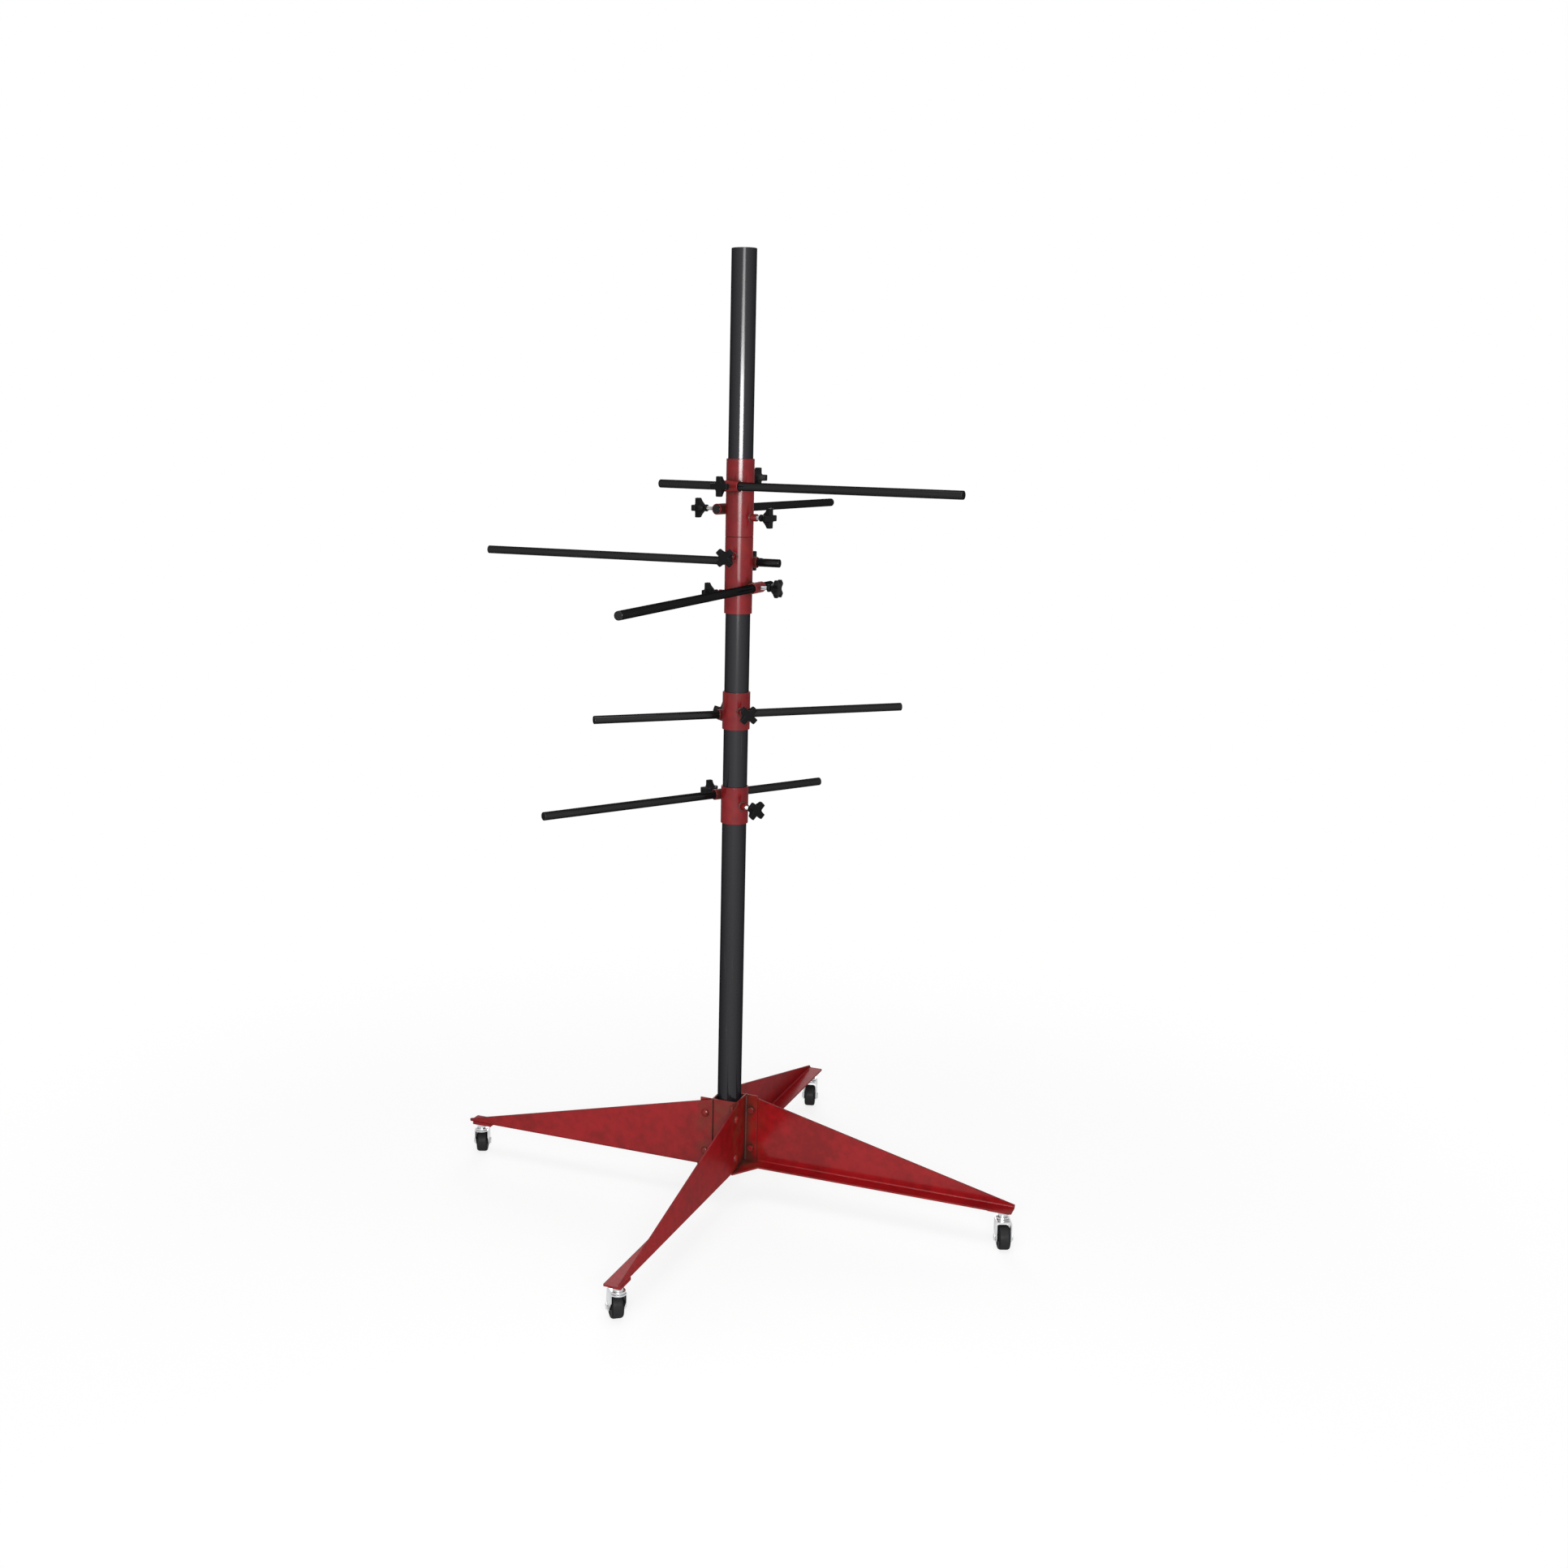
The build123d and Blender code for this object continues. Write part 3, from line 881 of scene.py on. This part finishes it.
class RACK_OT_casters(bpy.types.Operator):
    """Make one stem, fork and axle, and set them under the legs"""

    bl_idname = "rack.make_casters"
    bl_label = "Casters"

    race, race_low, race_high, race_edge = 0.0145, 0.0603, 0.0643, 0.0006
    collar, collar_top = 0.010, 0.073
    pin, pin_top = 0.005, 0.0812
    rivet, rivet_low, rivet_high, rivet_edge = 0.008, 0.0545, 0.0572, 0.0007
    sheet, bend, sheet_edge = 0.0025, 0.0045, 0.0004
    top, half_width = 0.060, 0.0165
    crown, crown_depth, rear = 0.0165, 0.008, 0.024
    trail, axle_height, eye = 0.019, 0.025, 0.010
    axle_radius, nut_across, nut_rise = 0.004, 0.013, 0.003
    blank_middle, blank_length = 0.005, 0.08
    fit, clear = 0.0001, 0.01
    # Steps out and up from race to collar, and in and down from the top of the pin
    collar_foot = ((0.0008, 0.0), (0.0002, 0.0003), (0.0, 0.0009))
    pin_end = ((0.0, 0.0006), (0.0008, 0.0002), (0.0028, 0.0))

    def execute(self, context):
        stem, fork, axle = self.stem(), self.fork(), self.axle()
        stems = []
        for side in SIDES:
            swivel = Matrix.Translation((*JOINTS[f"swivel_{side}"]["pos_m"][:2], 0))
            stems.append(copy_of(stem, swivel))
            trail = Vector(JOINTS[f"roll_{side}"]["pos_m"]) - swivel.translation
            place = frame_at(swivel.translation, (0, 0, 1), (trail.x, trail.y, 0))
            for blank, name in ((fork, "fork"), (axle, "axle")):
                dress(copy_of(blank, place), f"{name}_{side}_plated", "zinc", f"{name}_{side}")
        discard(stem, fork, axle)
        dress(join(stems), "caster_stems_turned", "zinc", "caster_stems")
        return {"FINISHED"}

    def stem(self):
        """Swivel race, collar and riveted pin, turned in one."""
        below = [
            (self.pin, self.race_low), (self.pin, self.rivet_high), (self.rivet, self.rivet_high),
            (self.rivet, self.rivet_low + self.rivet_edge),
            (self.rivet - self.rivet_edge, self.rivet_low),
        ]
        above = [(self.collar + out, self.race_high + up) for out, up in self.collar_foot]
        above += [(self.collar, self.collar_top), (self.pin, self.collar_top)]
        above += [(self.pin - inward, self.pin_top - down) for inward, down in self.pin_end]
        stem = turned(
            self.race, self.race_low + self.race_edge, self.race_high - self.race_edge,
            rim(self.race, self.race_low, self.race_edge, -1) + below,
            rim(self.race, self.race_high, self.race_edge, 1) + above, 48,
        )
        smooth(stem, 35)
        return stem

    def fork(self):
        """A channel bent from sheet, trimmed to its side and plan outlines."""
        fork = primitive(
            "plane", size=1, location=(self.blank_middle, 0, self.top),
            scale=(self.blank_length, 2 * self.half_width, 1),
        )
        edit(fork)
        pick(fork, "EDGE", lambda edge: near(abs(middle(edge).y), self.half_width))
        bpy.ops.mesh.extrude_region_move(TRANSFORM_OT_translate={"value": (0, 0, -self.top)})
        pick(fork, "EDGE", lambda edge: all(
            near(abs(vert.co.y), self.half_width) and near(vert.co.z, self.top) for vert in edge.verts
        ))
        bpy.ops.mesh.bevel(offset=self.bend, segments=6, affect="EDGES")
        look_out(fork, 2)
        done()
        modify(fork, "SOLIDIFY", thickness=self.sheet, offset=-1, use_even_offset=True)
        for outline in (self.side_outline(), self.plan_outline()):
            edit(outline)
            bpy.ops.mesh.select_all(action="SELECT")
            bpy.ops.mesh.convex_hull()
            done()
            cut(fork, outline, "INTERSECT")
        cut(fork, turned(self.pin + self.fit, 0, 2 * self.top, sides=48))
        axle_hole = turned(self.axle_radius + self.fit / 2, -self.top, self.top, sides=32)
        axle_hole.data.transform(self.axle_line())
        cut(fork, axle_hole)
        round_edges(fork, self.sheet_edge, 2)
        smooth(fork)
        return fork

    def side_outline(self):
        """Crown and axle eye, seen from the side."""
        wide, low, high = 2 * self.half_width, self.top - self.crown_depth, self.top + self.clear
        return join([
            block((-self.crown, -wide, low), (self.rear, wide, high)),
            primitive(
                "cylinder", vertices=48, radius=self.eye, depth=2 * wide,
                location=(self.trail, 0, self.axle_height), rotation=(math.pi / 2, 0, 0),
            ),
        ])

    def plan_outline(self):
        """Round crown and straight sides, seen from above."""
        tall, wide = 2 * self.top, self.half_width
        return join([
            primitive(
                "cylinder", vertices=64, radius=self.crown, depth=tall, location=(0, 0, tall / 2)
            ),
            block((self.trail - self.eye, -wide, 0), (self.trail + self.eye, wide, tall)),
        ])

    def axle_line(self):
        """Frame of the axle, local Z along it."""
        return frame_at((self.trail, 0, self.axle_height), (0, 1, 0), (1, 0, 0))

    def axle(self):
        """A bar between two nuts, half way through each."""
        face, end = self.half_width, self.half_width + self.nut_rise
        axle = join([
            turned(self.axle_radius, -(face + end) / 2, (face + end) / 2, sides=32),
            hexagon(self.nut_across, face, end),
            hexagon(self.nut_across, -end, -face),
        ])
        axle.data.transform(self.axle_line())
        smooth(axle, 25)
        return axle


class RACK_OT_wheels(bpy.types.Operator):
    """Turn one wheel, tread rounded into its sides and hub standing proud, and set four"""

    bl_idname = "rack.make_wheels"
    bl_label = "Wheels"

    half_width = 0.012
    tread_flat = 0.0015
    tread_fall = 0.0003
    # Radius, and depth below the face, of each step inward
    side = ((0.0190, 0.0), (0.0184, 0.0012), (0.0120, 0.0016), (0.0095, 0.0008), (0.0085, 0.0))
    hub_end = ((0.0083, 0.0004), (0.0079, 0.0), (0.0045, 0.0), (0.00408, 0.0004))

    def execute(self, context):
        half, shoulder = self.half_width, context.scene.rack_sizes.tyre_shoulder
        high = reach("wheel_right", joint_frame("roll_right"))[1]
        radius, hub = high.x, high.z
        end = [(radius - self.tread_fall, half - shoulder)]
        end += rim(radius - 2 * self.tread_fall, half, shoulder, 1)
        end += [(out, half - depth) for out, depth in self.side]
        end += [(out, hub - depth) for out, depth in self.hub_end]
        edge = half - shoulder - self.tread_flat
        mirrored = [(out, -height) for out, height in end]
        wheel = turned(radius, -edge, edge, mirrored, end, 72, through=True)
        smooth(wheel)
        for side in SIDES:
            piece = copy_of(wheel, joint_frame(f"roll_{side}"))
            dress(piece, f"wheel_{side}_tyre", "wheel_rubber", f"wheel_{side}")
        discard(wheel)
        return {"FINISHED"}


class RACK_OT_sleeves(bpy.types.Operator):
    """Turn the sleeves and weld a boss on for each clamp"""

    bl_idname = "rack.make_sleeves"
    bl_label = "Sleeves"

    outer = 0.028575
    bore = 0.0255
    screw_hole = 0.00408
    boss_radius = 0.0075
    boss_face = 0.042575
    boss_sunk = 0.0012
    bead_share = 0.75
    bead_out = 0.2
    clear = 0.006

    def execute(self, context):
        sizes = context.scene.rack_sizes
        boss = self.boss(sizes)
        for number in SLEEVES:
            low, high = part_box(f"sleeve_{number}")
            sleeve = tube(self.outer, self.bore, low.z, high.z, sizes.tube_edge, 96)
            places = clamp_places("sleeve", low.z, high.z)
            for place in places:
                hole = turned(
                    self.screw_hole, self.bore - self.clear, self.outer + self.clear, sides=32
                )
                hole.data.transform(place)
                cut(sleeve, hole)
            sleeve = join([sleeve] + [copy_of(boss, place) for place in places])
            smooth(sleeve)
            dress(sleeve, f"sleeve_{number}_tube", "shaded_sleeve_paint", f"sleeve_{number}")
        discard(boss)
        return {"FINISHED"}

    def boss(self, sizes):
        """A threaded boss with its weld bead, standing on the pole's axis."""
        low = self.bore + self.boss_sunk
        body = tube(self.boss_radius, self.screw_hole, low, self.boss_face, sizes.tube_edge, 48)
        bead = bead_ring(
            self.boss_radius + self.bead_out * sizes.weld, self.bead_share * sizes.weld,
            lambda x, y: math.sqrt(self.outer ** 2 - y ** 2),
        )
        return join([body, bead])


class RACK_OT_sockets(bpy.types.Operator):
    """Turn one socket, weld it to its sleeve, and set six"""

    bl_idname = "rack.make_sockets"
    bl_label = "Sockets"

    outer = 0.0112
    bore = 0.0086
    half_length = 0.025
    axis = 0.040075
    bead_radius = 0.0085
    bead_share = 1.1

    def execute(self, context):
        sizes, half = context.scene.rack_sizes, self.half_length
        socket = tube(self.outer, self.bore, -half, half, sizes.tube_edge, 64)
        socket.data.transform(frame_at((0, 0, self.axis), (0, 1, 0), (1, 0, 0)))
        hole_end = self.axis + 2 * self.outer
        cut(socket, turned(RACK_OT_sleeves.screw_hole, self.axis, hole_end, sides=32))
        bead = bead_ring(self.bead_radius, self.bead_share * sizes.weld, self.valley)
        socket = join([socket, bead])
        smooth(socket)
        for number in SLEEVES:
            low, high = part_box(f"sleeve_{number}")
            pieces = [copy_of(socket, place) for place in clamp_places("arm", low.z, high.z)]
            dress(join(pieces), f"socket_{number}_welded", "shaded_sleeve_paint", f"socket_{number}")
        discard(socket)
        return {"FINISHED"}

    def valley(self, x, y):
        """Height midway between the sleeve and the underside of the socket."""
        sleeve = math.sqrt(RACK_OT_sleeves.outer ** 2 - y ** 2)
        socket = self.axis - math.sqrt(self.outer ** 2 - min(abs(x), self.outer) ** 2)
        return (sleeve + socket) / 2


class RACK_OT_arms(bpy.types.Operator):
    """Turn the arms, their ends rounded off"""

    bl_idname = "rack.make_arms"
    bl_label = "Arms"

    def execute(self, context):
        edge = context.scene.rack_sizes.tube_edge
        for number in ARMS:
            place = joint_frame(f"slide_arm_{number}")
            low, high = reach(f"arm_{number}", place)
            arm = turned(
                high.x, low.z + edge, high.z - edge,
                rim(high.x, low.z, edge, -1), rim(high.x, high.z, edge, 1), 48,
            )
            smooth(arm)
            arm.data.transform(place)
            dress(arm, f"arm_{number}_bar", "bar_paint", f"arm_{number}")
        return {"FINISHED"}


class RACK_OT_knobs(bpy.types.Operator):
    """Mould one four-pronged knob and set twelve"""

    bl_idname = "rack.make_knobs"
    bl_label = "Clamp knobs"

    half_prong = 0.0064
    waist = 0.008
    neck = 0.0079
    neck_rings = (0.005, 0.0008, 0.0)
    neck_inset = 0.0012
    middle_share = 0.45
    middle_lift = 0.0068
    tip_depth = 0.0085
    pull = 0.0004
    tip_band = 0.0001
    edges_above = 0.002
    edge_angle = math.radians(57)

    def execute(self, context):
        knob = self.moulded(context.scene.rack_sizes)
        for clamp in CLAMPS:
            place = joint_frame(f"knob_{clamp}_turn")
            piece = copy_of(knob, place @ Matrix.Rotation(self.turn_of(clamp, place), 4, "Z"))
            dress(piece, f"knob_{clamp}_moulded", "black_plastic", f"knob_{clamp}")
        discard(knob)
        return {"FINISHED"}

    def turn_of(self, clamp, place):
        """How far a knob stands turned, read from its prongs' tips."""
        back = place.inverted()
        points = [back @ vert.co for vert in NODES[f"knob_{clamp}"].data.vertices]
        far = max(point.xy.length for point in points)
        ends = [point for point in points if point.xy.length > far - self.tip_band]
        tips = [math.atan2(end.y, end.x) for end in ends]
        across, up = sum(math.cos(4 * tip) for tip in tips), sum(math.sin(4 * tip) for tip in tips)
        return math.atan2(up, across) / 4

    def moulded(self, sizes):
        """Prongs drawn out of a block and thinned to their tips, on a round neck."""
        half, waist = self.half_prong, self.waist
        high = reach("knob_arm_1", joint_frame("knob_arm_1_turn"))[1]
        top, tip = high.z, high.x + self.pull
        bend = half + self.middle_share * (tip - half)
        knob = block((-half, -half, waist), (half, half, top))
        edit(knob)
        pick(knob, "FACE", lambda face: near(face.normal.z, 0))
        for drawn in (bend - half, tip - bend):
            bpy.ops.mesh.extrude_faces_move(
                MESH_OT_extrude_faces_indiv={}, TRANSFORM_OT_shrink_fatten={"value": drawn}
            )
        for out, lift in ((bend, self.middle_lift), (tip, top - self.tip_depth - waist)):
            pick(knob, "VERT", lambda vert: (
                near(vert.co.z, waist) and near(max(abs(vert.co.x), abs(vert.co.y)), out)
            ))
            bpy.ops.transform.translate(value=(0, 0, lift))
        pick(knob, "FACE", lambda face: near(middle(face).z, waist) and near(face.normal.z, -1))
        now, spread = waist, self.neck / half
        for height in self.neck_rings:
            bpy.ops.mesh.extrude_region_move(TRANSFORM_OT_translate={"value": (0, 0, height - now)})
            bpy.ops.transform.resize(value=(spread, spread, 1), center_override=(0, 0, height))
            now, spread = height, 1.0
        bpy.ops.mesh.inset(thickness=self.neck_inset)
        pick(knob, "EDGE", lambda edge: (
            edge.is_convex and edge.calc_face_angle(0) > self.edge_angle
            and middle(edge).z > waist + self.edges_above
        ))
        bpy.ops.mesh.bevel(offset=sizes.knob_edge, segments=2, affect="EDGES")
        done()
        modify(knob, "SUBSURF", levels=2, render_levels=2)
        smooth(knob, 60)
        return knob


class RACK_OT_screws(bpy.types.Operator):
    """Cut the clamp screws' threads, each as long as its clamp needs"""

    bl_idname = "rack.make_screws"
    bl_label = "Clamp screws"

    end_taper = 0.0005
    in_knob = 0.002
    thread_in_knob = 0.001
    root_sunk = 0.0001
    crest_gap = 0.00002
    half_ridge = 0.42
    first_turn = 0.6

    def execute(self, context):
        for clamp in CLAMPS:
            place = joint_frame(f"knob_{clamp}_turn")
            low, high = reach(f"screw_{clamp}", place)
            screw = self.threaded(high.x, low.z, high.z, context.scene.rack_sizes)
            screw.data.transform(place)
            dress(screw, f"screw_{clamp}_threaded", "zinc", f"screw_{clamp}")
        return {"FINISHED"}

    def threaded(self, radius, low, high, sizes):
        """A core with a ridge wound round it."""
        pitch, root = sizes.thread_pitch, radius - sizes.thread_depth
        core = turned(
            root, low + self.end_taper, high + self.in_knob, [(root - self.end_taper, low)], (), 24
        )
        ridge = primitive("circle", vertices=3, radius=0.5 * pitch, fill_type="NOTHING")
        foot, crest = root - self.root_sunk, radius - self.crest_gap
        profile = ((foot, -self.half_ridge), (crest, 0.0), (foot, self.half_ridge))
        for vert, (out, rise) in zip(ridge.data.vertices, profile):
            vert.co = (out, 0, low + (self.first_turn + rise) * pitch)
        turns = max(1, int((high + self.thread_in_knob - low) / pitch) - 1)
        modify(
            ridge, "SCREW", axis="Z", angle=2 * math.pi, screw_offset=pitch, iterations=turns,
            steps=16, render_steps=16, use_smooth_shade=False,
        )
        edit(ridge)
        bpy.ops.mesh.select_all(action="SELECT")
        bpy.ops.mesh.fill_holes(sides=3)
        bpy.ops.mesh.select_all(action="SELECT")
        bpy.ops.mesh.normals_make_consistent(inside=False)
        done()
        screw = join([core, ridge])
        smooth(screw, 30)
        return screw


class RACK_OT_stage(bpy.types.Operator):
    """Set the camera, the floor, the world and the lamps"""

    bl_idname = "rack.make_stage"
    bl_label = "Stage"

    azimuth = math.radians(22.85)
    elevation = math.radians(10.62)
    roll = math.radians(0.75)
    distance = 3.7527
    aim_beside, aim_height = -0.09473, 0.97946
    sensor = 36
    floor_size = 60
    white_by_rack = 0.8
    fade_start, fade_end = 0.5, 2.0
    soft_light = 0.22
    # Width of the photograph, focal length and middle of the lens, in its pixels
    image = 1932
    focal = 2223.3
    centre = (850, 930)
    # Name, place, aim, width and height, watts
    lamps = (
        ("front_box", (1.44, -3.41, 1.65), (0, 0, 1.3), (2.0, 0.34), 90),
        ("tall_box", (1.45, -3.44, 1.70), (0, 0, 1.3), (1.2, 1.5), 40),
        ("top_box", (0.3, -1.0, 4.2), (0, 0, 0.7), (2.6, 2.6), 75),
        ("back_box", (-1.45, 3.44, 1.70), (0, 0, 0.9), (2.0, 1.5), 55),
    )

    def execute(self, context):
        context.scene.view_settings.view_transform = "Standard"
        self.camera(context.scene)
        self.floor(context.scene)
        self.world(context.scene)
        for lamp in self.lamps:
            self.lamp(*lamp)
        return {"FINISHED"}

    def camera(self, scene):
        """The photograph's camera, turned about the pole and aimed beside it."""
        flat = math.cos(self.elevation)
        back = Vector((
            math.sin(self.azimuth) * flat, -math.cos(self.azimuth) * flat, math.sin(self.elevation)
        ))
        level = (-back).cross(Vector((0, 0, 1))).normalized()
        rise = level.cross(-back)
        right = math.cos(self.roll) * level + math.sin(self.roll) * rise
        up = -math.sin(self.roll) * level + math.cos(self.roll) * rise
        target = Vector((0, 0, self.aim_height)) + self.aim_beside * right
        data = bpy.data.cameras.new("photo_camera")
        data.sensor_width = self.sensor
        data.lens = self.focal / self.image * data.sensor_width
        data.shift_x = 0.5 - self.centre[0] / self.image
        data.shift_y = self.centre[1] / self.image - 0.5
        camera = bpy.data.objects.new("photo_camera", data)
        turn = Matrix((right, up, back)).transposed().to_4x4()
        camera.matrix_world = Matrix.Translation(target + self.distance * back) @ turn
        scene.collection.objects.link(camera)
        scene.camera = camera

    def floor(self, scene):
        """A pale floor that keeps the shadow and fades to white away from the rack."""
        floor = primitive("plane", size=self.floor_size, location=(0, 0, 0))
        floor.name = "floor"
        material = bpy.data.materials.new("pale_floor")
        material.use_nodes = True
        wiring = Wiring(material.node_tree)
        colours = scene.rack_colours
        place = wiring.place()
        dust = wiring.noise(place, 3.0, 3.0)
        tone = wiring.mix(dust, shade(colours.floor, 0.985), shade(colours.floor, 1.015))
        matt = wiring.node(
            "ShaderNodeBsdfPrincipled", None,
            {"Base Color": tone, "Roughness": 0.9, "Specular IOR Level": 0.1},
        )
        white = wiring.node("ShaderNodeEmission", None, {"Color": (1, 1, 1, 1), "Strength": 1.0})
        away = wiring.ramp(wiring.from_axis(place), self.fade_start, self.fade_end)
        whiteness = self.seen(wiring) * (self.white_by_rack + away * (1 - self.white_by_rack))
        bright = wiring.node("ShaderNodeMixShader", None, {0: whiteness, 1: matt, 2: white})
        wiring.node("ShaderNodeOutputMaterial", None, {"Surface": bright})
        floor.data.materials.append(material)

    def seen(self, wiring):
        """1 for rays from the camera and for reflected ones."""
        path = "ShaderNodeLightPath"
        camera = wiring.node(path, output="Is Camera Ray")
        glossy = wiring.node(path, output="Is Glossy Ray")
        through = wiring.node(path, output="Is Transmission Ray")
        return wiring.ramp(camera + glossy + through, 0.0, 1.0)

    def world(self, scene):
        """White to look at, soft as a light."""
        world = bpy.data.worlds.new("studio")
        world.use_nodes = True
        scene.world = world
        wiring = Wiring(world.node_tree)
        plain = {"Color": (1, 1, 1, 1)}
        soft = wiring.node("ShaderNodeBackground", None, {**plain, "Strength": self.soft_light})
        white = wiring.node("ShaderNodeBackground", None, {**plain, "Strength": 1.0})
        both = wiring.node("ShaderNodeMixShader", None, {0: self.seen(wiring), 1: soft, 2: white})
        wiring.node("ShaderNodeOutputWorld", None, {"Surface": both})

    def lamp(self, name, place, target, size, energy):
        """A soft box aimed at its target."""
        data = bpy.data.lights.new(name, "AREA")
        data.shape = "RECTANGLE"
        data.size, data.size_y = size
        data.energy = energy
        lamp = bpy.data.objects.new(name, data)
        back = (Vector(place) - Vector(target)).normalized()
        lamp.matrix_world = frame_at(place, back, Vector((0, 0, 1)).cross(back))
        bpy.context.scene.collection.objects.link(lamp)


OPERATORS = (
    RACK_OT_stage,
    RACK_OT_pole,
    RACK_OT_hub,
    RACK_OT_legs,
    RACK_OT_fasteners,
    RACK_OT_casters,
    RACK_OT_wheels,
    RACK_OT_sleeves,
    RACK_OT_sockets,
    RACK_OT_arms,
    RACK_OT_knobs,
    RACK_OT_screws,
)


class RACK_PT_panel(bpy.types.Panel):
    """Lists the rack's pieces, sizes and colours"""

    bl_idname = "RACK_PT_panel"
    bl_label = "Body panel rack"
    bl_space_type = "VIEW_3D"
    bl_region_type = "UI"
    bl_category = "Rack"

    def draw(self, context):
        for operator in OPERATORS:
            self.layout.operator(operator.bl_idname)
        for settings in (context.scene.rack_sizes, context.scene.rack_colours):
            box = self.layout.box()
            for name in settings.__annotations__:
                box.prop(settings, name)


CLASSES = (RackSizes, RackColours, *OPERATORS, RACK_PT_panel)


def register():
    for item in CLASSES:
        bpy.utils.register_class(item)
    bpy.types.Scene.rack_sizes = PointerProperty(type=RackSizes)
    bpy.types.Scene.rack_colours = PointerProperty(type=RackColours)


def unregister():
    del bpy.types.Scene.rack_colours
    del bpy.types.Scene.rack_sizes
    for item in reversed(CLASSES):
        bpy.utils.unregister_class(item)


def main():
    register()
    for operator in OPERATORS:
        group, name = operator.bl_idname.split(".")
        getattr(getattr(bpy.ops, group), name)()


if __name__ == "__main__":
    main()
